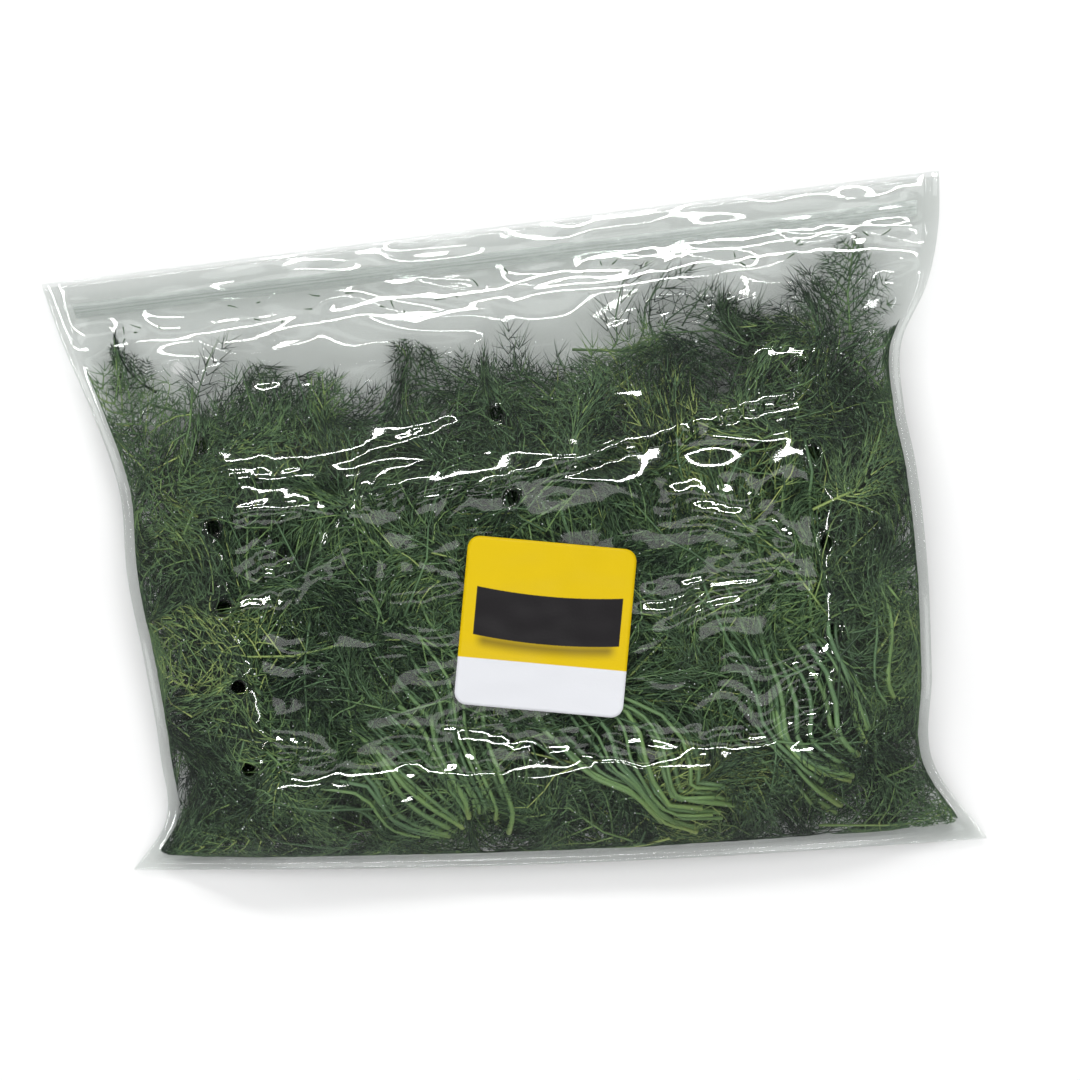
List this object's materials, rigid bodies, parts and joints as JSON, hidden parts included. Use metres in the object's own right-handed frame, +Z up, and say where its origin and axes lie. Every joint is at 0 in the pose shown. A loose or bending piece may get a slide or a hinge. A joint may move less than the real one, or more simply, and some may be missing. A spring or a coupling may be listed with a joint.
{
  "type": "bagged dill bunch",
  "caption": "Clear reclosable film bag packed flat with fresh cut dill, with a square sticker, punched vent holes and a zip under its lip, lying on its back.",
  "frame": {"origin": "centre of the bag's outline, on the surface that its back rests on", "axes": "+X across the bag along its long side, +Y from the bottom weld to the zip, +Z up out of the front panel"},
  "size_m": [0.4331, 0.3205, 0.0758],
  "materials": {
    "bag_film": "clear crinkled polyethylene film, glossy",
    "zip_strip": "clear moulded zip profile, satin",
    "label_paper": "yellow and white coated sticker with a plain dark banner, no lettering",
    "dill_leaf": "fresh dill leaves and stalks, dark green, paler at the cut ends"
  },
  "bodies": {
    "root": {"bag_back_panel": "bag_film", "bag_front_panel": "bag_film", "label_sticker": "label_paper", "sprig_left_1_1": "dill_leaf", "sprig_left_1_2": "dill_leaf", "sprig_left_1_3": "dill_leaf", "sprig_left_1_4": "dill_leaf", "sprig_left_2_1": "dill_leaf", "sprig_left_2_2": "dill_leaf", "sprig_left_2_3": "dill_leaf", "sprig_left_2_4": "dill_leaf", "sprig_left_3_1": "dill_leaf", "sprig_left_3_2": "dill_leaf", "sprig_left_3_3": "dill_leaf", "sprig_left_3_4": "dill_leaf", "sprig_left_4_1": "dill_leaf", "sprig_left_4_2": "dill_leaf", "sprig_left_4_3": "dill_leaf", "sprig_left_4_4": "dill_leaf", "sprig_middle_1_1": "dill_leaf", "sprig_middle_1_2": "dill_leaf", "sprig_middle_1_3": "dill_leaf", "sprig_middle_2_1": "dill_leaf", "sprig_middle_2_2": "dill_leaf", "sprig_middle_2_3": "dill_leaf", "sprig_middle_3_1": "dill_leaf", "sprig_middle_3_2": "dill_leaf", "sprig_middle_3_3": "dill_leaf", "sprig_middle_4_1": "dill_leaf", "sprig_middle_4_2": "dill_leaf", "sprig_middle_4_3": "dill_leaf", "sprig_right_1_1": "dill_leaf", "sprig_right_1_2": "dill_leaf", "sprig_right_1_3": "dill_leaf", "sprig_right_2_1": "dill_leaf", "sprig_right_2_2": "dill_leaf", "sprig_right_2_3": "dill_leaf", "sprig_right_3_1": "dill_leaf", "sprig_right_3_2": "dill_leaf", "sprig_right_3_3": "dill_leaf", "sprig_right_4_1": "dill_leaf", "sprig_right_4_2": "dill_leaf", "sprig_right_4_3": "dill_leaf", "zip_groove_strip": "zip_strip", "zip_rib_strip": "zip_strip"}
  },
  "joints": []
}
